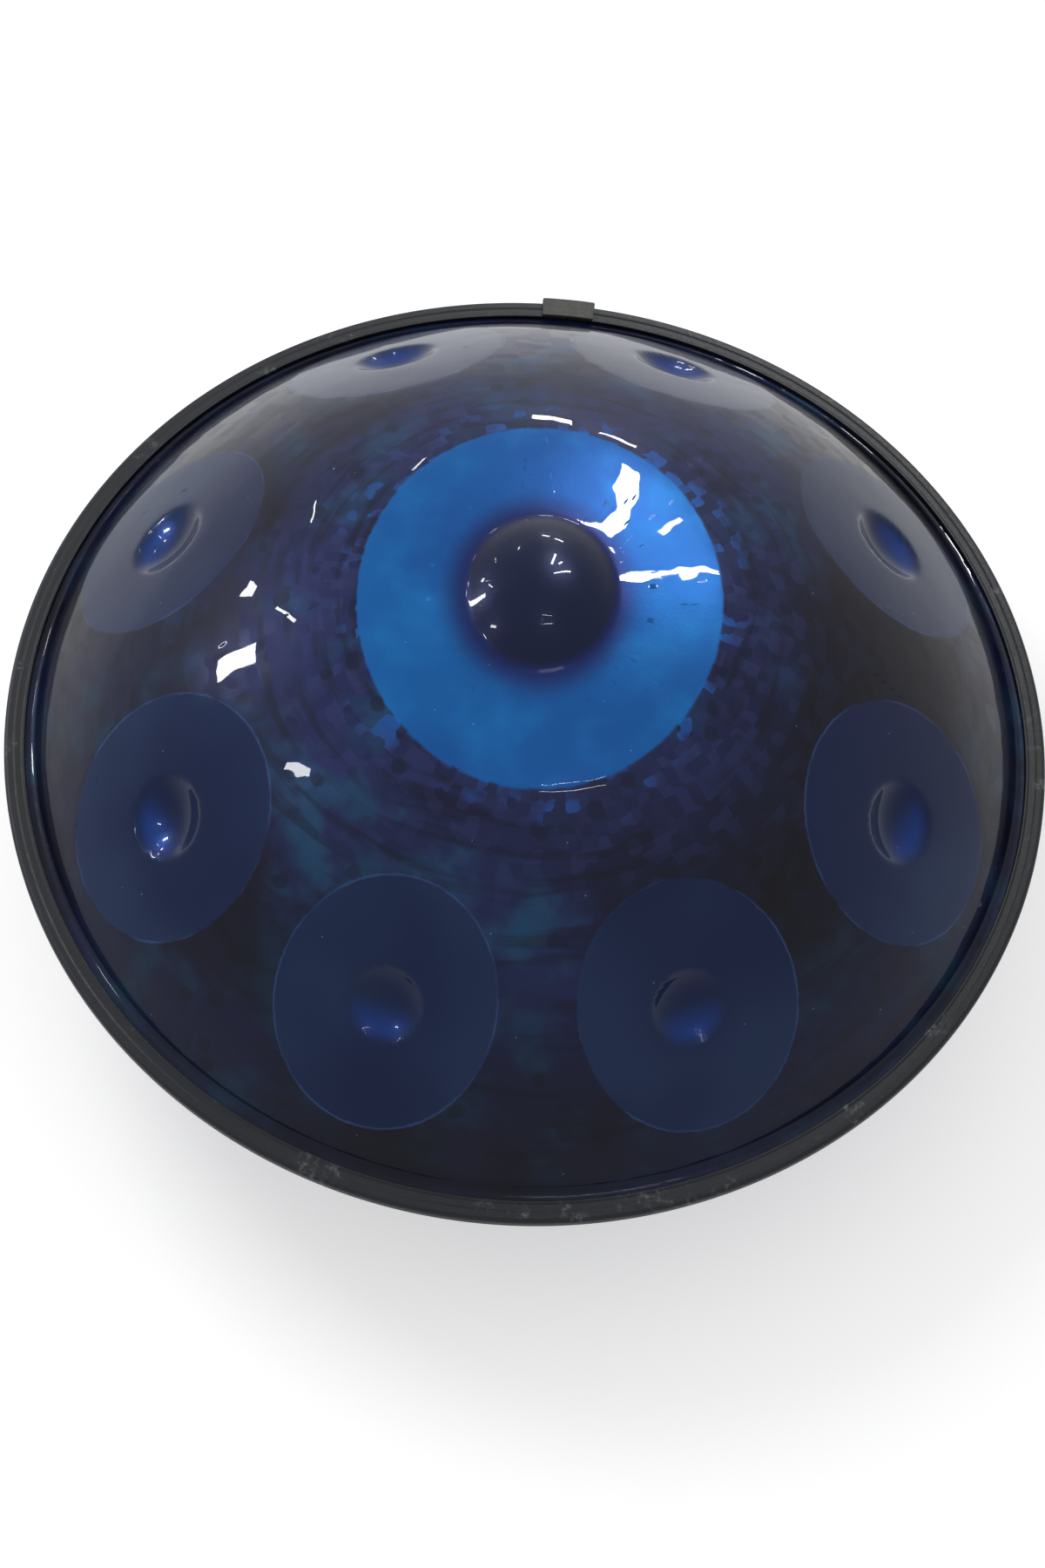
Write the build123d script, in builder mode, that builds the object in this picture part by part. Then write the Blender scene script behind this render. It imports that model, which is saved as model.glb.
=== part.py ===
from build123d import *
from math import asin, cos, degrees, radians, sin, sqrt
import os

# Handpan: two pressed steel shells glued flange to flange, with a rubber
# channel round the rim. Millimetres, +Z up. The origin is on the axis, in the
# plane that the bowl stands on.

# Shells
sheet = 1.2  # thickness of the steel
wall_radius = 250.0  # where a shell's wall would meet its flange plane
flange_width = 12.0  # flat rim outside the wall
rim_bend = 6.0  # outside radius between wall and flange
dome_height = 134.0  # flange to the crown that the dome has before pressing
bowl_depth = 112.0  # flange to the bottom that the bowl has before piercing

# Sound port in the bowl, its edge turned inwards into a neck
port_radius = 50.0
port_bend = 9.0  # outside radius that the bowl stands on
neck_height = 32.0  # standing plane to the top of the neck

# Ding: the flattened oval on the crown, and the boss in its middle
ding_half_x = 86.0
ding_half_y = 99.0
ding_press = 6.5  # how far the crown is pressed down
boss_half_x = 35.5
boss_half_y = 42.0
boss_height = 13.0
boss_blend = 8.0  # outside radius round the foot of the boss

# Tone fields: flattened ovals in a ring, each with a dimple pressed inwards
field_inset = 82.0  # wall to the ring that the fields are centred on, along the dome
field_press = 2.8
dimple_depth = 7.5
ring_turn = 27.5  # degrees from +X to the first field
# each field: its shift round the ring in degrees, its shift outwards, its half
# width round the ring, its half height up the dome, and its dimple's radius
fields = [
    (0.0, 2.0, 57.0, 61.0, 21.0),
    (0.5, 6.0, 56.0, 60.0, 21.0),
    (-1.5, 6.0, 58.0, 60.0, 21.0),
    (2.0, 2.0, 57.0, 61.0, 21.0),
    (4.0, 1.0, 57.5, 62.0, 20.0),
    (1.5, 0.0, 52.0, 61.5, 18.5),
    (-1.0, 0.0, 53.0, 61.5, 18.5),
    (-3.0, 0.0, 57.0, 62.0, 20.0),
]

# Adhesive between the flanges
bond_gap = 0.6
bond_margin = 1.0  # bare strip at the flanges' edge

# Rubber channel over both flanges, and the sleeve over its joint at the back
trim_web = 2.7  # outside the flanges' edge
trim_lip = 2.0  # above and below the flanges
trim_reach = 7.5  # how far the lips cover the flanges
trim_round = 1.6
trim_clearance = 0.1  # between a lip and its flange
edge_clearance = 0.3  # between the web and the flanges' edge
trim_joint = 1.5  # gap between the channel's ends
joint_azimuth = 90.0  # degrees from +X to the channel's joint
sleeve_length = 29.0
sleeve_wall = 1.8

press_room = 30.0  # how far a press tool stands clear of the sheet
tool_margin = 7.0  # how far a press tool runs past its oval
boss_margin = 4.0  # how far the boss's block runs past its oval


def cap_radius(half_width, rise):
    return (half_width**2 + rise**2) / (2 * rise)


def drop(radius, half_width):
    return radius - sqrt(radius**2 - half_width**2)


# Heights, built up from the standing plane
bowl_radius = cap_radius(wall_radius, bowl_depth)
lip_radius = port_radius + port_bend
bowl_centre_z = port_bend + sqrt((bowl_radius - port_bend) ** 2 - lip_radius**2)
bowl_flange_z = bowl_centre_z - sqrt(bowl_radius**2 - wall_radius**2)
bond_z = bowl_flange_z + sheet
dome_flange_z = bond_z + bond_gap
rim_top_z = dome_flange_z + sheet
dome_radius = cap_radius(wall_radius, dome_height)
dome_centre_z = rim_top_z + dome_height - dome_radius
flange_radius = wall_radius + flange_width
ring_radius = dome_radius * sin(asin(wall_radius / dome_radius) - field_inset / dome_radius)


def upright_plane(azimuth):
    # plane through the axis, its X outwards and its Y up
    turn = radians(azimuth)
    return Plane(
        origin=(0, 0, 0), x_dir=(cos(turn), sin(turn), 0), z_dir=(sin(turn), -cos(turn), 0)
    )


def seat_plane(ring, azimuth):
    # plane on the dome, its normal outwards and its X round the ring
    tilt = asin(ring / dome_radius)
    turn = radians(azimuth)
    normal = Vector(sin(tilt) * cos(turn), sin(tilt) * sin(turn), cos(tilt))
    return Plane(
        origin=Vector(0, 0, dome_centre_z) + normal * dome_radius,
        x_dir=(-sin(turn), cos(turn), 0),
        z_dir=normal,
    )


def press_tool(seat, radius_x, radius_y, half_x, half_y, inset):
    # block whose inside face is a crown under the seat, with one radius across
    # the seat and another along it
    axis = Axis(origin=seat.origin - seat.z_dir * radius_x, direction=seat.y_dir)
    reach = radius_x - inset
    side = reach - drop(radius_y - inset, half_y)
    top = reach + press_room
    spread = asin(half_x / reach)
    start = seat.z_dir * cos(spread) - seat.x_dir * sin(spread)
    with BuildPart() as tool:
        with BuildSketch(Plane(axis.position, x_dir=seat.y_dir, z_dir=seat.y_dir.cross(start))):
            with BuildLine():
                ThreePointArc((-half_y, side), (0, reach), (half_y, side))
                Polyline((half_y, side), (half_y, top), (-half_y, top), (-half_y, side))
            make_face()
        revolve(axis=axis, revolution_arc=2 * degrees(spread))
    return tool.part


def press_crown(seat, half_x, half_y, depth, inset):
    # flatten the dome to a crown that meets it in an oval
    crown_x = cap_radius(half_x, drop(dome_radius, half_x) - depth)
    crown_y = cap_radius(half_y, drop(dome_radius, half_y) - depth)
    tool_x = half_x + tool_margin
    tool_y = half_y + tool_margin
    tool = press_tool(seat.offset(-depth), crown_x, crown_y, tool_x, tool_y, inset)
    add(tool, mode=Mode.SUBTRACT)


def press_dimple(seat, rim_radius, depth, inset):
    ball = cap_radius(rim_radius, dimple_depth)
    height = ball - dimple_depth - depth
    centre = Plane(
        origin=seat.origin + seat.z_dir * height, x_dir=seat.z_dir, z_dir=seat.y_dir
    )
    with Locations(centre):
        Sphere(ball + inset, mode=Mode.SUBTRACT)


ding_seat = Plane.XY.offset(dome_centre_z + dome_radius)
ding_crown_x = cap_radius(ding_half_x, drop(dome_radius, ding_half_x) - ding_press)
ding_crown_y = cap_radius(ding_half_y, drop(dome_radius, ding_half_y) - ding_press)
ding_z = ding_seat.origin.Z - ding_press
boss_top_z = ding_z + boss_height
boss_x = cap_radius(boss_half_x, boss_height + drop(ding_crown_x, boss_half_x))
boss_y = cap_radius(boss_half_y, boss_height + drop(ding_crown_y, boss_half_y))


def boss_form(inset):
    # block whose top is the boss and whose foot stays inside the dome
    block_x = boss_half_x + boss_margin
    block_y = boss_half_y + boss_margin
    tool_x = block_x + sheet
    tool_y = block_y + sheet
    tool = press_tool(Plane.XY.offset(boss_top_z), boss_x, boss_y, tool_x, tool_y, inset)
    with BuildPart() as block:
        with BuildSketch(Plane.XY.offset(boss_top_z - 2 * boss_height)):
            Rectangle(2 * block_x, 2 * block_y)
        extrude(amount=3 * boss_height)
        add(tool, mode=Mode.SUBTRACT)
    return block.part


def dome_form(inset, edge_radius, base_z):
    # everything under the dome's outside face moved in by inset
    radius = dome_radius - inset
    ledge_z = rim_top_z - inset
    foot = sqrt(radius**2 - (ledge_z - dome_centre_z) ** 2)
    middle = asin(foot / radius) / 2
    boss = boss_form(inset)
    with BuildPart() as form:
        with BuildSketch(Plane.XZ):
            with BuildLine():
                ThreePointArc(
                    (foot, ledge_z),
                    (radius * sin(middle), dome_centre_z + radius * cos(middle)),
                    (0, dome_centre_z + radius),
                )
                Polyline(
                    (0, dome_centre_z + radius),
                    (0, base_z),
                    (edge_radius, base_z),
                    (edge_radius, ledge_z),
                    (foot, ledge_z),
                )
            make_face()
            fillet(vertices().sort_by_distance((foot, ledge_z))[0], rim_bend + inset)
        revolve(axis=Axis.Z)
        press_crown(ding_seat, ding_half_x, ding_half_y, ding_press, inset)
        add(boss)
        foot_edges = edges().filter_by(
            lambda e: e.bounding_box().min.Z > ding_z - boss_height
            and e.bounding_box().size.Y < 2 * (boss_half_y + boss_margin)
            and abs(e.center().Y) < boss_half_y
        )
        fillet(foot_edges, boss_blend + inset)
        for number, (shift, out, half_width, half_height, dimple_radius) in enumerate(fields):
            azimuth = ring_turn + number * 360 / len(fields) + shift
            seat = seat_plane(ring_radius + out, azimuth)
            press_crown(seat, half_width, half_height, field_press, inset)
            press_dimple(seat, dimple_radius, field_press, inset)
    return form.part


# Top shell
outside = dome_form(0, flange_radius, dome_flange_z - 2 * sheet)
inside = dome_form(sheet, flange_radius + flange_width, dome_flange_z - 4 * sheet)
with BuildPart() as top_shell:
    add(outside)
    add(inside, mode=Mode.SUBTRACT)

# Bottom shell: flange, bowl and neck in one sheet, drawn along its outside
bowl_foot_z = bowl_centre_z - sqrt(bowl_radius**2 - port_radius**2)
bow = (asin(wall_radius / bowl_radius) + asin(port_radius / bowl_radius)) / 2
with BuildPart() as bottom_shell:
    with BuildSketch(Plane.XZ):
        with BuildLine():
            Line((flange_radius, bowl_flange_z), (wall_radius, bowl_flange_z))
            ThreePointArc(
                (wall_radius, bowl_flange_z),
                (bowl_radius * sin(bow), bowl_centre_z - bowl_radius * cos(bow)),
                (port_radius, bowl_foot_z),
            )
            Line((port_radius, bowl_foot_z), (port_radius, neck_height))
            fillet(vertices().sort_by_distance((wall_radius, bowl_flange_z))[0], rim_bend)
            fillet(vertices().sort_by_distance((port_radius, bowl_foot_z))[0], port_bend)
            offset(amount=sheet, side=Side.RIGHT, closed=True)
        make_face()
    revolve(axis=Axis.Z)

# Adhesive ring
with BuildPart() as rim_adhesive:
    with BuildSketch(Plane.XY.offset(bond_z)):
        Circle(flange_radius - bond_margin)
        Circle(wall_radius + bond_margin, mode=Mode.SUBTRACT)
    extrude(amount=bond_gap)

# Rubber channel
slot_radius = flange_radius + edge_clearance
trim_radius = slot_radius + trim_web
trim_inner = flange_radius - trim_reach
trim_low = bowl_flange_z - trim_clearance - trim_lip
trim_high = rim_top_z + trim_clearance + trim_lip
joint_angle = degrees(trim_joint / trim_radius)
with BuildPart() as rim_trim:
    with BuildSketch(upright_plane(joint_azimuth + joint_angle / 2)):
        with BuildLine():
            Polyline(
                (trim_inner, trim_low),
                (trim_radius, trim_low),
                (trim_radius, trim_high),
                (trim_inner, trim_high),
                (trim_inner, rim_top_z + trim_clearance),
                (slot_radius, rim_top_z + trim_clearance),
                (slot_radius, bowl_flange_z - trim_clearance),
                (trim_inner, bowl_flange_z - trim_clearance),
                close=True,
            )
        make_face()
        fillet(vertices().group_by(Axis.X)[-1], trim_round)
    revolve(axis=Axis.Z, revolution_arc=360 - joint_angle)

# Sleeve over the channel's joint
sleeve_angle = degrees(sleeve_length / trim_radius)
sleeve_low = trim_low - trim_clearance
sleeve_high = trim_high + trim_clearance
sleeve_inner = trim_radius + trim_clearance
sleeve_radius = sleeve_inner + sleeve_wall
with BuildPart() as trim_joiner:
    with BuildSketch(upright_plane(joint_azimuth - sleeve_angle / 2)):
        with BuildLine():
            Polyline(
                (trim_inner, sleeve_low - sleeve_wall),
                (sleeve_radius, sleeve_low - sleeve_wall),
                (sleeve_radius, sleeve_high + sleeve_wall),
                (trim_inner, sleeve_high + sleeve_wall),
                (trim_inner, sleeve_high),
                (sleeve_inner, sleeve_high),
                (sleeve_inner, sleeve_low),
                (trim_inner, sleeve_low),
                close=True,
            )
        make_face()
        fillet(vertices().group_by(Axis.X)[-1], trim_round)
    revolve(axis=Axis.Z, revolution_arc=sleeve_angle)

os.makedirs("parts", exist_ok=True)
top_shell.part.label = "top_shell"
bottom_shell.part.label = "bottom_shell"
rim_adhesive.part.label = "rim_adhesive"
rim_trim.part.label = "rim_trim"
trim_joiner.part.label = "trim_joiner"
for piece in (top_shell, bottom_shell, rim_adhesive, rim_trim, trim_joiner):
    export_step(piece.part, f"parts/{piece.part.label}.step")
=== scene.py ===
import math

import bpy
import numpy as np
from mathutils import Matrix, Vector


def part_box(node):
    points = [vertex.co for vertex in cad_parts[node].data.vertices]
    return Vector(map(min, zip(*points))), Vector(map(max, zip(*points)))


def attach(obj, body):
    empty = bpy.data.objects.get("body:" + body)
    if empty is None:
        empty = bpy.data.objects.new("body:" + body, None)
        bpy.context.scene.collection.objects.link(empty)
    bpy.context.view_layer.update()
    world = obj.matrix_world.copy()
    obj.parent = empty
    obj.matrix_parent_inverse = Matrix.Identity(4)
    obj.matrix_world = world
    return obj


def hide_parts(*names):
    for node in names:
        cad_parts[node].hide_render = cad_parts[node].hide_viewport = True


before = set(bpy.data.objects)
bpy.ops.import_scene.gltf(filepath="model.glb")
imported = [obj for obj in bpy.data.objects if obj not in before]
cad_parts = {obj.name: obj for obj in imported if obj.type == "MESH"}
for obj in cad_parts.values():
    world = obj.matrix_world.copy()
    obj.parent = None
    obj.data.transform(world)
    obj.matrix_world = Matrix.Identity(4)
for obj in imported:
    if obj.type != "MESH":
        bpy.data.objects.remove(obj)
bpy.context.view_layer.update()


# small helpers for colours and nodes

def paint(red, green, blue):
    # a colour as seen on screen, 0 to 255, turned into the linear one that shaders use
    linear = []
    for part in (red, green, blue):
        share = part / 255
        linear.append(share / 12.92 if share <= 0.04045 else ((share + 0.055) / 1.055) ** 2.4)
    return (*linear, 1.0)


def addNode(tree, kind, label="", **settings):
    made = tree.nodes.new(kind)
    made.label = label
    for name, value in settings.items():
        setattr(made, name, value)
    return made


def feed(tree, socket, value):
    # a link where value is another node's socket, or else a plain number or colour
    if isinstance(value, bpy.types.NodeSocket):
        tree.links.new(value, socket)
    else:
        socket.default_value = value


def maths(tree, operation, first, second=None):
    made = addNode(tree, "ShaderNodeMath", operation=operation)
    feed(tree, made.inputs[0], first)
    if second is not None:
        feed(tree, made.inputs[1], second)
    return made.outputs[0]


def times(tree, first, second):
    return maths(tree, "MULTIPLY", first, second)


def plus(tree, first, second):
    return maths(tree, "ADD", first, second)


def minus(tree, first, second):
    return maths(tree, "SUBTRACT", first, second)


def blendColour(tree, share, first, second):
    made = addNode(tree, "ShaderNodeMix", data_type="RGBA")
    feed(tree, made.inputs["Factor"], share)
    feed(tree, made.inputs[6], first)
    feed(tree, made.inputs[7], second)
    return made.outputs[2]


def ramp(tree, value, low, high, lowOut=0.0, highOut=1.0):
    # a smooth step from lowOut to highOut while value goes from low to high
    made = addNode(tree, "ShaderNodeMapRange", interpolation_type="SMOOTHSTEP")
    feed(tree, made.inputs["Value"], value)
    for name, number in (("From Min", low), ("From Max", high), ("To Min", lowOut), ("To Max", highOut)):
        made.inputs[name].default_value = number
    return made.outputs["Result"]


def cloud(tree, vector, scale, detail=3.0, roughness=0.55):
    made = addNode(tree, "ShaderNodeTexNoise")
    feed(tree, made.inputs["Vector"], vector)
    for name, number in (("Scale", scale), ("Detail", detail), ("Roughness", roughness)):
        made.inputs[name].default_value = number
    return made.outputs["Fac"]


def newGroup(name, inputs, outputs):
    group = bpy.data.node_groups.new(name, "ShaderNodeTree")
    for socketName, kind, value in inputs:
        made = group.interface.new_socket(name=socketName, in_out="INPUT", socket_type=kind)
        if value is not None:
            made.default_value = value
    for socketName, kind in outputs:
        group.interface.new_socket(name=socketName, in_out="OUTPUT", socket_type=kind)
    return group, group.nodes.new("NodeGroupInput"), group.nodes.new("NodeGroupOutput")


def useGroup(tree, group, **values):
    made = addNode(tree, "ShaderNodeGroup", node_tree=group)
    for name, value in values.items():
        feed(tree, made.inputs[name], value)
    return made


# the shape, all in metres and worked out from the frame

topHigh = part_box("top_shell")[1]
bowlLow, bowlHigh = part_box("bottom_shell")
trimLow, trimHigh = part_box("rim_trim")
joinerLow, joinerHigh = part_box("trim_joiner")

flangeWidth = 0.012
shell = {
    "sheet": 0.0012,
    "flangeRadius": topHigh.x,
    "wallRadius": topHigh.x - flangeWidth,
    "rimBend": 0.006,
    "domeHeight": 0.134,
    "bossHeight": 0.013,
    "dingPress": 0.0065,
    "bowlDepth": 0.112,
    "gripWidth": 0.0075,  # how far the rubber reaches in over the flanges
}

ding = {"halfX": 0.086, "halfY": 0.099, "bossX": 0.0355, "bossY": 0.042, "bossBlend": 0.0022}

toneFields = {
    # inset runs along the dome from the wall to the ring that the fields are centred on
    "inset": 0.082, "turn": 27.5, "press": 0.0028, "dimpleDepth": 0.0075,
    "crease": 0.00022, "dimpleEdge": 0.0011,
    # degrees off the even ring, way out, half width, half height, dimple radius
    "fields": (
        (0.0, 0.002, 0.057, 0.061, 0.021), (0.5, 0.006, 0.056, 0.060, 0.021),
        (-1.5, 0.006, 0.058, 0.060, 0.021), (2.0, 0.002, 0.057, 0.061, 0.021),
        (4.0, 0.001, 0.0575, 0.062, 0.020), (1.5, 0.0, 0.052, 0.0615, 0.0185),
        (-1.0, 0.0, 0.053, 0.0615, 0.0185), (-3.0, 0.0, 0.057, 0.062, 0.020),
    ),
}


def ballRadius(halfWidth, rise):
    return (halfWidth ** 2 + rise ** 2) / (2 * rise)


rimTop = topHigh.z - shell["bossHeight"] - shell["domeHeight"] + shell["dingPress"]
domeRadius = ballRadius(shell["wallRadius"], shell["domeHeight"])
domeCentre = rimTop + shell["domeHeight"] - domeRadius


def smoothMax(first, second, width):
    return 0.5 * (first + second + np.sqrt((first - second) ** 2 + width ** 2))


def fieldPlaces():
    ringLean = math.asin(shell["wallRadius"] / domeRadius) - toneFields["inset"] / domeRadius
    ring = domeRadius * math.sin(ringLean)
    for number, (shift, out, halfWidth, halfHeight, dimple) in enumerate(toneFields["fields"]):
        turn = math.radians(toneFields["turn"] + number * 45 + shift)
        lean = math.asin((ring + out) / domeRadius)
        across = np.array((-math.sin(turn), math.cos(turn), 0.0))
        away = np.array((math.sin(lean) * math.cos(turn), math.sin(lean) * math.sin(turn), math.cos(lean)))
        yield across, np.cross(away, across), away, halfWidth, halfHeight, dimple


def pressAt(direction):
    # how far the dome stands in (-) or out (+) along a direction from its centre, and the edge distances
    edges = {}
    inner = direction * domeRadius
    facing = direction[..., 2] > 0
    shareX, shareY = inner[..., 0] / ding["halfX"], inner[..., 1] / ding["halfY"]
    oval = shareX ** 2 + shareY ** 2
    deep = smoothMax(np.zeros(oval.shape), shell["dingPress"] * (1 - oval), toneFields["crease"] * 2)
    edges["dingEdge"] = (1 - np.sqrt(oval)) * (ding["halfX"] + ding["halfY"]) / 2
    fieldEdge = np.full(oval.shape, -1.0)
    dimpleEdge = np.full(oval.shape, -1.0)
    dimpleSide = np.zeros(oval.shape)
    for across, up, away, halfWidth, halfHeight, dimple in fieldPlaces():
        x, y = inner @ across, inner @ up
        ahead = direction @ away > 0.8
        oval = (x / halfWidth) ** 2 + (y / halfHeight) ** 2
        pressed = np.where(ahead, toneFields["press"] * (1 - oval), -1.0)
        deep = smoothMax(deep, pressed, toneFields["crease"])
        inwards = (1 - np.sqrt(oval)) * (halfWidth + halfHeight) / 2
        fieldEdge = np.maximum(fieldEdge, np.where(ahead, inwards, -1.0))
        depth = toneFields["dimpleDepth"]
        ball = ballRadius(dimple, depth)
        reach = np.sqrt(x ** 2 + y ** 2)
        bowl = np.sqrt(np.maximum(ball ** 2 - np.minimum(reach, ball) ** 2, 0)) - ball + depth
        deep = smoothMax(deep, np.where(ahead, bowl + toneFields["press"], -1.0), toneFields["dimpleEdge"])
        dimpleEdge = np.maximum(dimpleEdge, np.where(ahead, dimple - reach, -1.0))
        dimpleSide = np.where(ahead & (reach < 1.5 * dimple), y / dimple, dimpleSide)
    edges["fieldEdge"], edges["dimpleEdge"], edges["dimpleSide"] = fieldEdge, dimpleEdge, dimpleSide
    ball = ballRadius(ding["bossX"], shell["bossHeight"])
    share = np.sqrt((inner[..., 0] / ding["bossX"]) ** 2 + (inner[..., 1] / ding["bossY"]) ** 2)
    reach = np.minimum(share * ding["bossX"], ball * 0.999)
    rise = np.sqrt(ball ** 2 - reach ** 2) - ball + shell["bossHeight"]
    rise = np.where(facing & (share < 1.5), rise, -1.0)
    edges["bossEdge"] = (1 - share) * (ding["bossX"] + ding["bossY"]) / 2
    out = smoothMax(np.zeros(rise.shape), rise, ding["bossBlend"])
    return out - deep, edges


def sphereNormal(direction):
    # the surface's own normal by small steps over the dome, so that reflections run smoothly
    step = 2e-4
    side = np.cross(direction, np.array((0.3, 0.9, 0.0)))
    side /= np.linalg.norm(side, axis=-1, keepdims=True)
    other = np.cross(direction, side)
    here = []
    for tangent in (side, other):
        ends = []
        for sign in (-1, 1):
            aim = direction + tangent * step * sign
            aim /= np.linalg.norm(aim, axis=-1, keepdims=True)
            ends.append(aim * (domeRadius + pressAt(aim)[0])[..., None])
        here.append(ends[1] - ends[0])
    normal = np.cross(here[0], here[1])
    normal /= np.linalg.norm(normal, axis=-1, keepdims=True)
    return np.where((normal * direction).sum(-1, keepdims=True) < 0, -normal, normal)


def skirt(thickness):
    # from the dome into its bend and out over the flat flange: radius, height, normal for each ring
    bend = shell["rimBend"] + thickness
    sphere = domeRadius - thickness
    top = rimTop - thickness
    reach = math.sqrt((sphere + bend) ** 2 - (top + bend - domeCentre) ** 2)  # the bend's own centre
    start = math.asin(reach / (sphere + bend))
    rings = []
    for share in np.linspace(0, 1, 7):
        lean = start * (1 - share)
        normal = (math.sin(lean), math.cos(lean))
        rings.append((reach - normal[0] * bend, top + bend - normal[1] * bend, normal))
    return rings


def ringsMesh(name, loops, normals):
    # closes each pair of loops with quads; a loop of one point becomes the pole
    points, faces, starts = [], [], []
    for loop in loops:
        starts.append((sum(len(p) for p in points), len(loop)))
        points.append(loop)
    for (first, countA), (second, countB) in zip(starts, starts[1:]):
        joinLoops(faces, first, countA, second, countB)
    mesh = bpy.data.meshes.new(name)
    mesh.from_pydata(np.concatenate(points).tolist(), [], faces)
    mesh.polygons.foreach_set("use_smooth", [True] * len(mesh.polygons))
    mesh.normals_split_custom_set_from_vertices(np.concatenate(normals).tolist())
    return mesh


def joinLoops(faces, first, countA, second, countB):
    if countA == 1:
        faces.extend((first, second + i, second + (i + 1) % countB) for i in range(countB))
    elif countB == 1:
        faces.extend((second, first + (i + 1) % countA, first + i) for i in range(countA))
    elif countA == countB:
        for i in range(countA):
            j = (i + 1) % countA
            faces.append((first + i, second + i, second + j, first + j))
    elif countA == 2 * countB:
        for i in range(countB):
            a, b, c = first + 2 * i, first + 2 * i + 1, first + (2 * i + 2) % countA
            near, far = second + i, second + (i + 1) % countB
            faces.extend(((a, near, b), (b, near, far), (b, far, c)))


def placePiece(name, mesh, node, material):
    piece = bpy.data.objects.new(name, mesh)
    bpy.context.scene.collection.objects.link(piece)
    mesh.materials.append(material)
    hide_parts(node)
    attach(piece, "root")
    return piece


def turned(count):
    angle = np.arange(count) * 2 * math.pi / count
    return np.cos(angle), np.sin(angle)


# surface effects shared by the finishes

def hammerGroup():
    # overlapping hammer blows: a height for the bump and a tone for each blow
    group, source, sink = newGroup(
        "hammerBlows",
        [("Vector", "NodeSocketVector", None), ("Blow Size", "NodeSocketFloat", 0.01)],
        [("Height", "NodeSocketFloat"), ("Tone", "NodeSocketFloat")])
    scale = maths(group, "DIVIDE", 1.0, source.outputs["Blow Size"])
    warp = addNode(group, "ShaderNodeTexNoise")
    feed(group, warp.inputs["Vector"], source.outputs["Vector"])
    warp.inputs["Scale"].default_value = 60
    push = addNode(group, "ShaderNodeVectorMath", operation="MULTIPLY_ADD")
    feed(group, push.inputs[0], warp.outputs["Color"])
    push.inputs[1].default_value = (0.006, 0.006, 0.006)
    feed(group, push.inputs[2], source.outputs["Vector"])
    cells = addNode(group, "ShaderNodeTexVoronoi", feature="SMOOTH_F1")
    cells.inputs["Smoothness"].default_value = 0.55
    feed(group, cells.inputs["Vector"], push.outputs[0])
    feed(group, cells.inputs["Scale"], scale)
    spread = addNode(group, "ShaderNodeSeparateColor")
    feed(group, spread.inputs[0], cells.outputs["Color"])
    feed(group, sink.inputs["Height"], cells.outputs["Distance"])
    feed(group, sink.inputs["Tone"], spread.outputs[0])
    return group


def fleckGroup():
    # small square flecks that overlap in rings round the axis, like scales, each with its own tone
    group, source, sink = newGroup(
        "ringFlecks",
        [("Vector", "NodeSocketVector", None), ("Fleck Size", "NodeSocketFloat", 0.005),
         ("Stretch", "NodeSocketFloat", 1.0), ("Wander", "NodeSocketFloat", 0.004)],
        [("Tone", "NodeSocketFloat"), ("Streak", "NodeSocketFloat")])
    drift = addNode(group, "ShaderNodeTexNoise")
    feed(group, drift.inputs["Vector"], source.outputs["Vector"])
    drift.inputs["Scale"].default_value = 30
    drift.inputs["Detail"].default_value = 0.5
    split = addNode(group, "ShaderNodeSeparateXYZ")
    feed(group, split.inputs[0], source.outputs["Vector"])
    x, y = split.outputs[0], split.outputs[1]
    reach = maths(group, "SQRT", plus(group, times(group, x, x), times(group, y, y)))
    offset = times(group, minus(group, drift.outputs["Fac"], 0.5), source.outputs["Wander"])
    reach = plus(group, reach, offset)
    around = times(group, maths(group, "ARCTAN2", y, x), 0.125)
    around = maths(group, "DIVIDE", around, source.outputs["Stretch"])
    place = addNode(group, "ShaderNodeCombineXYZ")
    feed(group, place.inputs[0], around)
    feed(group, place.inputs[1], reach)
    scale = maths(group, "DIVIDE", 1.0, source.outputs["Fleck Size"])
    cells = addNode(group, "ShaderNodeTexVoronoi", voronoi_dimensions="2D", distance="CHEBYCHEV")
    feed(group, cells.inputs["Vector"], place.outputs[0])
    feed(group, cells.inputs["Scale"], scale)
    cells.inputs["Randomness"].default_value = 0.6
    spread = addNode(group, "ShaderNodeSeparateColor")
    feed(group, spread.inputs[0], cells.outputs["Color"])
    # long streaks that follow the rings
    band = addNode(group, "ShaderNodeCombineXYZ")
    feed(group, band.inputs[0], times(group, around, 0.12))
    feed(group, band.inputs[1], reach)
    streak = addNode(group, "ShaderNodeTexNoise", noise_dimensions="2D")
    feed(group, streak.inputs["Vector"], band.outputs[0])
    feed(group, streak.inputs["Scale"], times(group, scale, 0.8))
    feed(group, sink.inputs["Tone"], spread.outputs[0])
    feed(group, sink.inputs["Streak"], streak.outputs["Fac"])
    return group


def speckGroup():
    # dust and tiny chips: a mask that is 1 on each speck
    group, source, sink = newGroup(
        "fineSpecks",
        [("Vector", "NodeSocketVector", None), ("Spacing", "NodeSocketFloat", 0.02),
         ("Speck Size", "NodeSocketFloat", 0.03)],
        [("Mask", "NodeSocketFloat")])
    cells = addNode(group, "ShaderNodeTexVoronoi")
    feed(group, cells.inputs["Vector"], source.outputs["Vector"])
    feed(group, cells.inputs["Scale"], maths(group, "DIVIDE", 1.0, source.outputs["Spacing"]))
    near = maths(group, "LESS_THAN", cells.outputs["Distance"], source.outputs["Speck Size"])
    feed(group, sink.inputs["Mask"], near)
    return group


hammerBlows = hammerGroup()
ringFlecks = fleckGroup()
fineSpecks = speckGroup()
print("shared effects ready")


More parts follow.
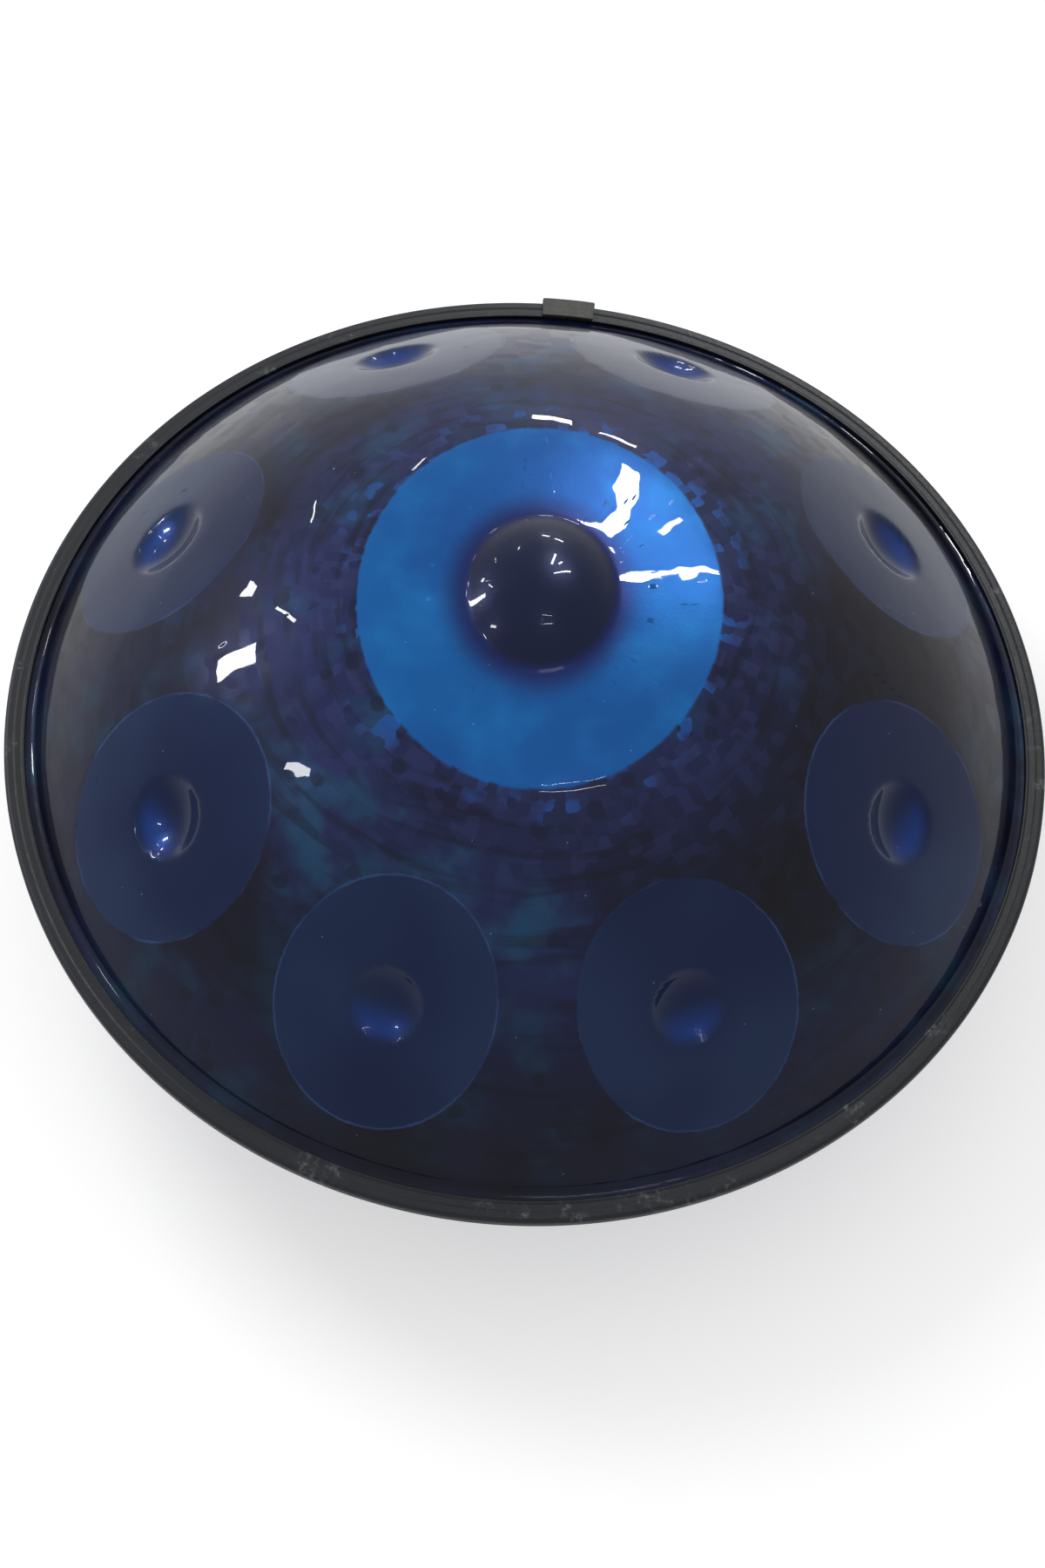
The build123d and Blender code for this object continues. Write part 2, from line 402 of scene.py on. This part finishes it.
def startMaterial(name):
    material = bpy.data.materials.new(name)
    material.use_nodes = True
    tree = material.node_tree
    shader = tree.nodes["Principled BSDF"]
    place = addNode(tree, "ShaderNodeTexCoord").outputs["Object"]
    return material, tree, shader, place


def meshValue(tree, name):
    return addNode(tree, "ShaderNodeAttribute", name, attribute_name=name).outputs["Fac"]


def bumpFrom(tree, height, distance=1.0):
    bump = addNode(tree, "ShaderNodeBump")
    bump.inputs["Strength"].default_value = 1.0
    bump.inputs["Distance"].default_value = distance
    feed(tree, bump.inputs["Height"], height)
    return bump.outputs["Normal"]


clearCoat = {"metal": 0.2, "specular": 0.05, "weight": 0.55, "index": 1.27}


def addClearCoat(tree, shader, waves, waveDepth, roughness):
    # the coat flows over the fine marks and keeps only the slow waves of the sheet;
    # its low index leaves the dark colours deep under a white surround
    shader.inputs["Metallic"].default_value = clearCoat["metal"]
    shader.inputs["Specular IOR Level"].default_value = clearCoat["specular"]
    shader.inputs["Coat Weight"].default_value = clearCoat["weight"]
    shader.inputs["Coat IOR"].default_value = clearCoat["index"]
    shader.inputs["Coat Roughness"].default_value = roughness
    feed(tree, shader.inputs["Coat Normal"], bumpFrom(tree, waves, waveDepth))


lacquer = {
    # the ding's azure colours are a painted reflection of the bright light above
    "ding": paint(10, 88, 156), "dingReflectionBright": paint(20, 114, 182), "dingReflectionDeep": paint(8, 72, 140),
    # the dark ring colour is painted shade at the foot of the boss
    "bossFootShade": paint(18, 32, 88), "boss": paint(16, 25, 56),
    # the crease colour is a painted highlight along the field borders
    "field": paint(12, 27, 64), "fieldSlate": paint(24, 42, 76), "crease": paint(56, 84, 136),
    # the darkest colour here makes random dark patches and streaks and the painted shade towards the rim;
    # the teal is a painted reflection
    "between": paint(26, 34, 74), "betweenDarkAndRimShade": paint(12, 13, 24), "betweenTealReflection": paint(24, 62, 94),
    # the two fleck colours are painted reflections of the hammer facets; the spot colour is painted shade
    "fleckReflection": paint(22, 82, 160), "fleckPaleReflection": paint(42, 48, 94), "dentShade": paint(14, 22, 44),
    # the dimple colour is a painted highlight on the dimple's outer side
    "dimple": paint(18, 50, 116), "speck": paint(150, 165, 190),
}


def domeFinish():
    material, tree, shader, place = startMaterial("candyBlueLacquer")
    dingEdge, fieldEdge = meshValue(tree, "dingEdge"), meshValue(tree, "fieldEdge")
    bossEdge, dimpleEdge = meshValue(tree, "bossEdge"), meshValue(tree, "dimpleEdge")
    dimpleSide = meshValue(tree, "dimpleSide")
    blows = useGroup(tree, hammerBlows, **{"Vector": place, "Blow Size": 0.013})
    flecks = useGroup(
        tree, ringFlecks, **{"Vector": place, "Fleck Size": 0.0055, "Stretch": 1.15, "Wander": 0.006})
    tone, streak = flecks.outputs["Tone"], flecks.outputs["Streak"]
    wide = cloud(tree, place, 8, 2)
    medium = cloud(tree, place, 26, 3)
    jag = minus(tree, cloud(tree, place, 260, 2), 0.5)

    # between the fields: navy near the ding, teal clouds of painted reflection further out, near black
    # towards the rim as painted shade
    around = ramp(tree, dingEdge, -0.070, -0.004)
    outer = ramp(tree, dingEdge, -0.060, -0.110)
    between = blendColour(tree, ramp(tree, wide, 0.36, 0.64), lacquer["betweenDarkAndRimShade"], lacquer["between"])
    between = blendColour(tree, times(tree, around, 0.7), between, lacquer["between"])
    # painted reflection: pale flecks of the hammer facets, more of them near the ding
    reflectedScales = times(tree, ramp(tree, tone, 0.25, 1.0), plus(tree, times(tree, around, 0.40), 0.10))
    between = blendColour(tree, reflectedScales, between, lacquer["fleckPaleReflection"])
    # painted reflection: teal clouds between the fields
    reflectedTeal = times(tree, ramp(tree, medium, 0.47, 0.66), ramp(tree, wide, 0.38, 0.58))
    between = blendColour(tree, times(tree, reflectedTeal, 0.9), between, lacquer["betweenTealReflection"])
    streaks = times(tree, ramp(tree, streak, 0.50, 0.70), 0.5)
    between = blendColour(tree, streaks, between, lacquer["betweenDarkAndRimShade"])
    # painted shade: darker spots in the deepest hammer blows
    deepest = ramp(tree, blows.outputs["Height"], 0.40, 0.28)
    dentShadeMask = times(tree, deepest, ramp(tree, blows.outputs["Tone"], 0.60, 0.78))
    between = blendColour(tree, times(tree, dentShadeMask, 0.7), between, lacquer["dentShade"])
    # painted shade: near black towards the rim
    between = blendColour(tree, times(tree, outer, 0.6), between, lacquer["betweenDarkAndRimShade"])
    # painted reflection: bright blue flecks close round the ding
    reflectedGlints = times(tree, ramp(tree, dingEdge, -0.024, -0.002), ramp(tree, tone, 0.70, 0.80))
    reflectedGlints = times(tree, reflectedGlints, ramp(tree, medium, 0.44, 0.56, 0.0, 0.6))
    between = blendColour(tree, reflectedGlints, between, lacquer["fleckReflection"])

    # ding: bright azure as a painted reflection of the light above, deeper in places, with a soft dark
    # ring of painted shade at the foot of the boss
    azureDingReflection = blendColour(tree, ramp(tree, wide, 0.35, 0.65), lacquer["dingReflectionDeep"], lacquer["ding"])
    lighter = times(tree, ramp(tree, medium, 0.45, 0.75), 0.5)
    azureDingReflection = blendColour(tree, lighter, azureDingReflection, lacquer["dingReflectionBright"])
    # painted shade: a dark ring where the ding meets the foot of the boss
    azureDingReflection = blendColour(tree, ramp(tree, bossEdge, -0.018, 0.000), azureDingReflection, lacquer["bossFootShade"])
    azureDingReflection = blendColour(tree, ramp(tree, bossEdge, -0.002, 0.003), azureDingReflection, lacquer["boss"])

    # fields: plain navy, the dimple lighter on its outer side as a painted highlight
    navy = blendColour(tree, ramp(tree, wide, 0.38, 0.62), lacquer["field"], lacquer["fieldSlate"])
    dimpleHighlight = times(tree, ramp(tree, dimpleEdge, -0.001, 0.006), ramp(tree, dimpleSide, 0.10, -0.80))
    navy = blendColour(tree, dimpleHighlight, navy, lacquer["dimple"])

    raggedField = plus(tree, fieldEdge, times(tree, jag, 0.0013))
    raggedDing = plus(tree, dingEdge, times(tree, minus(tree, tone, 0.55), 0.0007))
    colour = blendColour(tree, ramp(tree, raggedField, -0.0005, 0.0005), between, navy)
    colour = blendColour(tree, ramp(tree, raggedDing, -0.0009, 0.0009), colour, azureDingReflection)
    # painted highlight: a light line along each field's border crease
    creaseHighlight = times(tree, ramp(tree, raggedField, -0.0009, -0.0002), ramp(tree, raggedField, 0.0007, 0.0001))
    creaseHighlight = times(tree, creaseHighlight, ramp(tree, medium, 0.38, 0.66, 0.0, 0.5))
    colour = blendColour(tree, creaseHighlight, colour, lacquer["crease"])
    specks = useGroup(tree, fineSpecks, **{"Vector": place, "Spacing": 0.014, "Speck Size": 0.022})
    colour = blendColour(tree, times(tree, specks.outputs["Mask"], 0.5), colour, lacquer["speck"])
    feed(tree, shader.inputs["Base Color"], colour)

    # the blows show between the fields and fade out on the smooth fields and ding
    onField, onDing = ramp(tree, fieldEdge, -0.001, 0.003), ramp(tree, dingEdge, -0.001, 0.003)
    smoothPart = maths(tree, "MAXIMUM", onField, onDing)
    strength = minus(tree, 1.0, times(tree, smoothPart, 0.9))
    height = times(tree, blows.outputs["Height"], times(tree, strength, 0.00016))
    height = plus(tree, height, times(tree, cloud(tree, place, 30, 1), 0.00032))
    height = plus(tree, height, times(tree, cloud(tree, place, 620, 3, 0.65), 0.000050))
    feed(tree, shader.inputs["Normal"], bumpFrom(tree, height))
    patchy = times(tree, strength, ramp(tree, tone, 0, 1, 0.0, 0.14))
    feed(tree, shader.inputs["Roughness"], plus(tree, 0.30, patchy))
    addClearCoat(tree, shader, cloud(tree, place, 30, 2), 0.0004, 0.015)
    return material


bowlLacquerPaint = {
    # the fleck colour is a painted reflection of the hammer facets
    "deep": paint(18, 24, 60), "light": paint(26, 42, 92), "fleckReflection": paint(48, 50, 104),
    "streak": paint(14, 16, 36), "speck": paint(150, 160, 180),
}


def bowlFinish():
    material, tree, shader, place = startMaterial("candyBlueBowlLacquer")
    blows = useGroup(tree, hammerBlows, **{"Vector": place, "Blow Size": 0.02})
    flecks = useGroup(
        tree, ringFlecks, **{"Vector": place, "Fleck Size": 0.011, "Stretch": 2.2, "Wander": 0.012})
    colours = bowlLacquerPaint
    wide = ramp(tree, cloud(tree, place, 7, 2), 0.38, 0.64)
    colour = blendColour(tree, wide, colours["deep"], colours["light"])
    # painted reflection: flecks of the hammer facets
    colour = blendColour(tree, times(tree, flecks.outputs["Tone"], 0.2), colour, colours["fleckReflection"])
    streaks = times(tree, ramp(tree, flecks.outputs["Streak"], 0.5, 0.75), 0.4)
    colour = blendColour(tree, streaks, colour, colours["streak"])
    specks = useGroup(tree, fineSpecks, **{"Vector": place, "Spacing": 0.02, "Speck Size": 0.02})
    colour = blendColour(tree, times(tree, specks.outputs["Mask"], 0.4), colour, colours["speck"])
    feed(tree, shader.inputs["Base Color"], colour)
    height = times(tree, blows.outputs["Height"], 0.00028)
    height = plus(tree, height, times(tree, cloud(tree, place, 34, 2), 0.0005))
    feed(tree, shader.inputs["Normal"], bumpFrom(tree, height))
    feed(tree, shader.inputs["Roughness"], ramp(tree, blows.outputs["Tone"], 0, 1, 0.30, 0.42))
    addClearCoat(tree, shader, cloud(tree, place, 34, 2), 0.0005, 0.02)
    return material


def rubberFinish(name, body, worn, grain):
    # satin extruded rubber: fine grain, faint streaks, pale scuffs where it is handled
    material, tree, shader, place = startMaterial(name)
    streaks = useGroup(
        tree, ringFlecks, **{"Vector": place, "Fleck Size": 0.0012, "Stretch": 30.0, "Wander": 0.0006})
    patches = ramp(tree, cloud(tree, place, 38, 4, 0.7), 0.56, 0.74)
    scuffs = times(tree, patches, ramp(tree, cloud(tree, place, 300, 3), 0.42, 0.7))
    colour = blendColour(tree, times(tree, streaks.outputs["Tone"], 0.3), body, worn)
    colour = blendColour(tree, times(tree, scuffs, 0.7), colour, paint(122, 126, 130))
    specks = useGroup(tree, fineSpecks, **{"Vector": place, "Spacing": 0.009, "Speck Size": 0.03})
    colour = blendColour(tree, times(tree, specks.outputs["Mask"], 0.5), colour, paint(150, 152, 155))
    feed(tree, shader.inputs["Base Color"], colour)
    fine = cloud(tree, place, grain, 3)
    height = times(tree, fine, 0.00004)
    height = plus(tree, height, times(tree, cloud(tree, place, 60, 2), 0.00025))
    feed(tree, shader.inputs["Normal"], bumpFrom(tree, height))
    feed(tree, shader.inputs["Roughness"], ramp(tree, fine, 0.2, 0.8, 0.40, 0.58))
    shader.inputs["Specular IOR Level"].default_value = 0.25
    return material


def adhesiveFinish():
    material, tree, shader, place = startMaterial("curedAdhesive")
    fine = cloud(tree, place, 180, 3)
    feed(tree, shader.inputs["Base Color"], blendColour(tree, fine, paint(40, 40, 42), paint(64, 64, 66)))
    feed(tree, shader.inputs["Normal"], bumpFrom(tree, fine, 0.0002))
    feed(tree, shader.inputs["Roughness"], ramp(tree, fine, 0.2, 0.8, 0.45, 0.65))
    return material


domeLacquer = domeFinish()
bowlLacquer = bowlFinish()
trimRubber = rubberFinish("trimRubber", paint(14, 17, 24), paint(32, 37, 46), 900)
joinerRubber = rubberFinish("joinerRubber", paint(50, 52, 47), paint(64, 66, 59), 700)
adhesive = adhesiveFinish()
print("finishes ready")


# top shell

dome = {
    "segments": 640, "insideSegments": 320, "crownRings": 46, "fieldRings": 66, "insideRings": 58,
    "crownReach": 0.110,  # how far the closer rings of the ding go, along the dome
}


def domeLoops(thickness, segments, leans):
    # loops of points over the dome with their normals and edge distances
    cosines, sines = turned(segments)
    loops, normals, marks = [], [], []
    for lean in leans:
        if lean == 0:
            direction = np.array([[0.0, 0.0, 1.0]])
        else:
            heights = np.full(segments, math.cos(lean))
            direction = np.stack((math.sin(lean) * cosines, math.sin(lean) * sines, heights), -1)
        out, edges = pressAt(direction)
        point = direction * (domeRadius + out)[..., None]
        normal = sphereNormal(direction)
        point = point - normal * thickness
        point[:, 2] += domeCentre
        loops.append(point)
        normals.append(normal if thickness == 0 else -normal)
        marks.append(edges)
    return loops, normals, marks


def flangeLoops(thickness, segments):
    cosines, sines = turned(segments)
    rings = skirt(thickness)
    last = rings[-1]
    for share in (0.5, 1.0):
        radius = last[0] + (shell["flangeRadius"] - last[0]) * share
        rings.append((radius, last[1], last[2]))
    loops, normals = [], []
    for radius, height, (normalOut, normalUp) in rings:
        loops.append(np.stack((radius * cosines, radius * sines, np.full(segments, height)), -1))
        normal = np.stack((normalOut * cosines, normalOut * sines, np.full(segments, normalUp)), -1)
        normals.append(normal if thickness == 0 else -normal)
    return loops, normals


def addMarks(mesh, marks, loops):
    for name in ("dingEdge", "fieldEdge", "bossEdge", "dimpleEdge", "dimpleSide"):
        values = []
        for loop, edges in zip(loops, marks):
            values.extend(np.ravel(edges[name]).tolist() if edges else [-1.0] * len(loop))
        layer = mesh.attributes.new(name, "FLOAT", "POINT")
        layer.data.foreach_set("value", values)


def buildTopShell():
    flange, flangeNormals = flangeLoops(0.0, dome["segments"])
    bendFoot = math.atan2(flange[0][0][0], flange[0][0][2] - domeCentre)
    crownEnd = dome["crownReach"] / domeRadius
    leans = list(np.linspace(0, crownEnd, dome["crownRings"]))
    leans += list(np.linspace(crownEnd, bendFoot, dome["fieldRings"] + 1))[1:-1]
    loops, normals, marks = domeLoops(0.0, dome["segments"], leans)
    loops += flange
    normals += flangeNormals
    # under side, from the flange's edge back to the middle
    under, underNormals = flangeLoops(shell["sheet"], dome["insideSegments"])
    insideFoot = math.atan2(under[0][0][0], under[0][0][2] - domeCentre)
    insideLeans = list(np.linspace(insideFoot, 0, dome["insideRings"]))[1:]
    insideLoops, insideNormals, _ = domeLoops(shell["sheet"], dome["insideSegments"], insideLeans)
    loops += under[::-1] + insideLoops
    normals += underNormals[::-1] + insideNormals
    marks += [None] * (len(loops) - len(marks))
    mesh = ringsMesh("topShell", loops, normals)
    addMarks(mesh, marks, loops)
    return placePiece("topShell", mesh, "top_shell", domeLacquer)


topShell = buildTopShell()
print("top shell:", len(topShell.data.polygons), "faces")


# turned pieces: an outline of (radius, height, normal) swept round the axis

def sweptPiece(name, outline, segments, node, material, start=0.0, sweep=2 * math.pi, endRound=0.0):
    whole = sweep >= 2 * math.pi - 1e-9
    shape = np.array([(radius, height, *normal) for radius, height, normal in outline])
    angles = start + np.linspace(0, sweep, segments + (0 if whole else 1), endpoint=not whole)
    insets = np.zeros(len(angles))
    if endRound:
        # the ends are drawn in a little, so that they are soft
        spread = endRound / shape[:, 0].max()
        for index, share in enumerate((0.0, 0.25, 0.6, 1.0)):
            for end, sign in ((0, 1), (-1, -1)):
                place = index if end == 0 else len(angles) - 1 - index
                angles[place] = (start if end == 0 else start + sweep) + sign * spread * share
                insets[place] = endRound * (1 - math.sqrt(1 - (1 - share) ** 2))
    rings, normals = [], []
    for angle, inset in zip(angles, insets):
        cosine, sine = math.cos(angle), math.sin(angle)
        radius = shape[:, 0] - shape[:, 2] * inset
        rings.append(np.stack((radius * cosine, radius * sine, shape[:, 1] - shape[:, 3] * inset), -1))
        normals.append(np.stack((shape[:, 2] * cosine, shape[:, 2] * sine, shape[:, 3]), -1))
    count = len(outline)
    faces = []
    for ring in range(len(angles) if whole else len(angles) - 1):
        here, there = ring * count, (ring + 1) % len(angles) * count
        for i in range(count):
            j = (i + 1) % count
            faces.append((here + i, there + i, there + j, here + j))
    if not whole:
        faces.append(tuple(range(count)))
        faces.append(tuple(reversed(range((len(angles) - 1) * count, len(angles) * count))))
    mesh = bpy.data.meshes.new(name)
    mesh.from_pydata(np.concatenate(rings).tolist(), [], faces)
    mesh.polygons.foreach_set("use_smooth", [len(f) == 4 for f in faces])
    mesh.normals_split_custom_set_from_vertices(np.concatenate(normals).tolist())
    return placePiece(name, mesh, node, material)


def arcOutline(centre, radius, start, end, steps, side=1):
    # points of an arc; side -1 where the surface faces the arc's centre
    points = []
    for share in np.linspace(0, 1, steps):
        angle = start + (end - start) * share
        x, y = math.cos(angle), math.sin(angle)
        points.append((centre[0] + radius * x, centre[1] + radius * y, (side * x, side * y)))
    return points


def roundedOutline(corners, steps=5):
    # corners of (radius, height, rounding), anticlockwise round the section, the outside on the right
    outline = []
    for index, (x, y, rounding) in enumerate(corners):
        here = Vector((x, y))
        comes = (here - Vector(corners[index - 1][:2])).normalized()
        goes = (Vector(corners[(index + 1) % len(corners)][:2]) - here).normalized()
        sign = 1 if comes.x * goes.y - comes.y * goes.x > 0 else -1
        half = comes.angle(goes) / 2
        begin = here - comes * rounding * math.tan(half)
        first = Vector((comes.y, -comes.x))
        middle = begin - first * rounding * sign
        startAngle = math.atan2(first.y, first.x)
        for step in range(steps):
            angle = startAngle + sign * 2 * half * step / (steps - 1)
            normal = (math.cos(angle), math.sin(angle))
            shift = rounding * sign
            outline.append((middle.x + normal[0] * shift, middle.y + normal[1] * shift, normal))
    return outline


# bottom shell: port with its neck, bowl and flange in one sheet

bowl = {
    "segments": 320, "portRadius": 0.050, "portBend": 0.009, "neckHeight": 0.032,
    "bowlRings": 60, "bendRings": 9,
}


def bowlSide(inset):
    # the bowl's outside, or its inside where inset is the sheet
    flange = bowlHigh.z - shell["sheet"]
    radius = ballRadius(shell["wallRadius"], shell["bowlDepth"])
    portBend, neck, steps = bowl["portBend"], bowl["neckHeight"], bowl["bendRings"]
    lip = bowl["portRadius"] + portBend
    centre = portBend + math.sqrt((radius - portBend) ** 2 - lip ** 2)
    bend = shell["rimBend"]
    reach = math.sqrt((radius + bend) ** 2 - (centre - flange + bend) ** 2)
    lipAngle = math.atan2(portBend - centre, lip)
    rimAngle = math.atan2(flange - bend - centre, reach)
    port = bowl["portRadius"] + inset
    outline = [(port, neck, (-1, 0)), (port, (neck + portBend) / 2, (-1, 0))]
    outline += arcOutline((lip, portBend), portBend - inset, math.pi, 2 * math.pi + lipAngle, steps)
    outline += arcOutline((0, centre), radius - inset, lipAngle, rimAngle, bowl["bowlRings"])[1:-1]
    hollow = arcOutline((reach, flange - bend), bend + inset, rimAngle + math.pi, math.pi / 2, steps)
    outline += [(x, y, (-nx, -ny)) for x, y, (nx, ny) in hollow]
    outline.append((shell["flangeRadius"], flange + inset, (0, -1)))
    return outline


outside = bowlSide(0.0)
inside = [(x, y, (-nx, -ny)) for x, y, (nx, ny) in bowlSide(shell["sheet"])]
bottomShell = sweptPiece("bottomShell", outside + inside[::-1], bowl["segments"],
                         "bottom_shell", bowlLacquer)
print("bottom shell:", len(bottomShell.data.polygons), "faces")


# rim trim and the sleeve over its joint

trim = {
    "segments": 640, "lip": 0.002, "web": 0.0027, "joint": 0.0015, "jointTurn": 90.0,
    "outerRound": 0.0026, "bead": 0.0006, "dish": 0.0005, "creaseIn": 0.0046,
}


def trimOutline():
    inner = shell["flangeRadius"] - shell["gripWidth"]
    outer, low, high = trimHigh.x, trimLow.z, trimHigh.z
    slot = outer - trim["web"]
    dish = high - trim["dish"]
    corners = [
        (inner, low, 0.0006), (outer, low, 0.0016), (outer, high - 0.0004, trim["outerRound"]),
        (outer - trim["creaseIn"], high - 0.0001, 0.0006),
        (outer - trim["creaseIn"] - 0.0011, dish, 0.0008),
        (inner + 0.0019, dish, 0.0008), (inner + 0.0011, high, trim["bead"]), (inner, high, 0.0005),
        (inner, high - trim["lip"], 0.0004), (slot, high - trim["lip"], 0.0005),
        (slot, low + trim["lip"], 0.0005), (inner, low + trim["lip"], 0.0004),
    ]
    return roundedOutline(corners)


jointAngle = trim["joint"] / trimHigh.x
trimStart = math.radians(trim["jointTurn"]) + jointAngle / 2
sweptPiece("rimTrim", trimOutline(), trim["segments"], "rim_trim", trimRubber,
           start=trimStart, sweep=2 * math.pi - jointAngle)

sleeve = {"length": 0.029, "wall": 0.0018, "round": 0.0016, "endRound": 0.0009, "segments": 28}


def sleeveOutline():
    inner = shell["flangeRadius"] - shell["gripWidth"]
    outer, low, high, wall = joinerHigh.y, joinerLow.z, joinerHigh.z, sleeve["wall"]
    corners = [
        (inner, low, 0.0007), (outer, low, sleeve["round"]),
        (outer, high, sleeve["round"]), (inner, high, 0.0007),
        (inner, high - wall, 0.0004), (outer - wall, high - wall, 0.0006),
        (outer - wall, low + wall, 0.0006), (inner, low + wall, 0.0004),
    ]
    return roundedOutline(corners)


sleeveAngle = sleeve["length"] / trimHigh.x
sleeveStart = math.radians(trim["jointTurn"]) - sleeveAngle / 2
sweptPiece("trimJoiner", sleeveOutline(), sleeve["segments"], "trim_joiner", joinerRubber,
           start=sleeveStart, sweep=sleeveAngle, endRound=sleeve["endRound"])
print("trim and joiner ready")

# the adhesive ring keeps its own solid
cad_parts["rim_adhesive"].data.materials.clear()
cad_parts["rim_adhesive"].data.materials.append(adhesive)


# floor, lights and camera

studio = {
    "floorSize": 12.0, "floor": (0.80, 0.80, 0.80, 1.0), "floorLift": 0.45, "floorGap": 0.0002,
    "skyLevels": (0.26, 0.74), "stripDistance": 2.4, "stripLift": 0.2,
    "keyDirection": (-0.55, 0.45, 0.75), "keyDistance": 2.6, "keySize": 1.1, "keyPower": 20,
    "cameraDistance": 1.300, "cameraLean": 28.6, "cameraPitch": -1.40, "cameraRoll": -5.5, "lens": 58.4,
}


def showsWhite(tree):
    # 1 for what the camera, a mirror or glass sees directly, so the background is white in all three
    rays = addNode(tree, "ShaderNodeLightPath")
    seen = maths(tree, "MAXIMUM", rays.outputs["Is Camera Ray"], rays.outputs["Is Glossy Ray"])
    return maths(tree, "MAXIMUM", seen, rays.outputs["Is Transmission Ray"])


def addFloor():
    size = studio["floorSize"] / 2
    mesh = bpy.data.meshes.new("floor")
    corners = [(-size, -size, 0), (size, -size, 0), (size, size, 0), (-size, size, 0)]
    mesh.from_pydata(corners, [], [(0, 1, 2, 3)])
    floor = bpy.data.objects.new("floor", mesh)
    bpy.context.scene.collection.objects.link(floor)
    floor.location.z = bowlLow.z - studio["floorGap"]
    material = bpy.data.materials.new("paleFloor")
    material.use_nodes = True
    tree = material.node_tree
    shader = tree.nodes["Principled BSDF"]
    shader.inputs["Base Color"].default_value = studio["floor"]
    shader.inputs["Roughness"].default_value = 0.9
    shader.inputs["Specular IOR Level"].default_value = 0.1
    shader.inputs["Emission Color"].default_value = (1, 1, 1, 1)
    feed(tree, shader.inputs["Emission Strength"], times(tree, showsWhite(tree), studio["floorLift"]))
    mesh.materials.append(material)


def addSky():
    # plain soft light all round, a little stronger from above and behind
    world = bpy.data.worlds.new("softRoom")
    bpy.context.scene.world = world
    world.use_nodes = True
    tree = world.node_tree
    background = tree.nodes["Background"]
    split = addNode(tree, "ShaderNodeSeparateXYZ")
    feed(tree, split.inputs[0], addNode(tree, "ShaderNodeTexCoord").outputs["Generated"])
    aim = plus(tree, times(tree, split.outputs[1], 0.4), times(tree, split.outputs[2], 0.6))
    soft = ramp(tree, aim, -0.8, 0.9, *studio["skyLevels"])
    level = maths(tree, "MAXIMUM", soft, showsWhite(tree))
    shade = addNode(tree, "ShaderNodeCombineColor")
    for index in range(3):
        feed(tree, shade.inputs[index], level)
    feed(tree, background.inputs["Color"], shade.outputs[0])
    background.inputs["Strength"].default_value = 1.0


def towards(turn, rise):
    turn, rise = math.radians(turn), math.radians(rise)
    return Vector((math.cos(rise) * math.cos(turn), math.cos(rise) * math.sin(turn), math.sin(rise)))


def addStrip(name, start, end, thickness, glow):
    # a strip lamp between two directions, each (turn from +X, rise) in degrees,
    # which makes a highlight and no fill light
    first, last = towards(*start) * studio["stripDistance"], towards(*end) * studio["stripDistance"]
    middle = (first + last) / 2
    back = middle.normalized()
    along = last - first
    along = (along - back * along.dot(back)).normalized()
    light = bpy.data.lights.new(name, "AREA")
    light.shape = "RECTANGLE"
    light.size, light.size_y = (last - first).length, thickness
    light.energy = glow * math.pi * light.size * light.size_y
    lamp = bpy.data.objects.new(name, light)
    bpy.context.scene.collection.objects.link(lamp)
    lamp.visible_diffuse = False
    turn = Matrix((along, back.cross(along), back)).transposed().to_4x4()
    lamp.matrix_world = Matrix.Translation(middle + Vector((0, 0, studio["stripLift"]))) @ turn


def addKey():
    # one broad soft light from the left and behind gives the shadow; the gloss does not show it
    light = bpy.data.lights.new("keySoftbox", "AREA")
    light.size = studio["keySize"]
    light.energy = studio["keyPower"]
    lamp = bpy.data.objects.new("keySoftbox", light)
    bpy.context.scene.collection.objects.link(lamp)
    lamp.location = Vector(studio["keyDirection"]).normalized() * studio["keyDistance"]
    lamp.rotation_euler = (-lamp.location).to_track_quat("-Z", "Y").to_euler()
    lamp.visible_glossy = False


def addCamera():
    lean = math.radians(studio["cameraLean"])
    centre = Vector((0, 0, (trimLow.z + trimHigh.z) / 2))
    place = Vector((0, -math.sin(lean), math.cos(lean))) * studio["cameraDistance"]
    ahead = -place.normalized()
    right = Vector((1, 0, 0))
    up = right.cross(ahead)
    pitch = Matrix.Rotation(math.radians(studio["cameraPitch"]), 3, right)
    ahead, up = pitch @ ahead, pitch @ up
    roll = Matrix.Rotation(math.radians(studio["cameraRoll"]), 3, ahead)
    right, up = roll @ right, roll @ up
    lens = bpy.data.cameras.new("camera")
    lens.lens = studio["lens"]
    lens.sensor_width = 36
    lens.clip_start, lens.clip_end = 0.05, 60
    camera = bpy.data.objects.new("camera", lens)
    bpy.context.scene.collection.objects.link(camera)
    turn = Matrix((right, up, -ahead)).transposed().to_4x4()
    camera.matrix_world = Matrix.Translation(centre + place) @ turn
    bpy.context.scene.camera = camera


addFloor()
addSky()
addKey()
addStrip("tubeBackUp", (80, 47), (81, 35), 0.07, 130)
addStrip("tubeBackAcross", (74, 54), (58, 43), 0.055, 130)
addStrip("tubeBackSmall", (71, 41), (73, 45), 0.06, 100)
addStrip("tubeOverUp", (-50, 86), (-8, 77), 0.012, 100)
addStrip("tubeOverAcross", (-75, 80), (-28, 72), 0.012, 100)
addStrip("windowLowRight", (78, 18), (84, 17), 0.05, 80)
addStrip("windowLow", (88, 15), (93, 14), 0.05, 80)
addStrip("windowLowLeft", (110, 24), (112, 27), 0.04, 60)
addStrip("windowSide", (164, 23), (160, 31), 0.15, 100)
addStrip("windowSideSmall", (146, 22), (149, 22), 0.10, 80)
addStrip("tubeSide", (150, 30), (152, 36), 0.03, 100)
addStrip("tubeSideThin", (129, 19), (132, 23), 0.012, 80)
addStrip("lampLeft", (-171, 40), (-167, 45), 0.08, 80)
addCamera()
bpy.context.scene.view_settings.view_transform = "Standard"
print("floor, lights and camera ready")
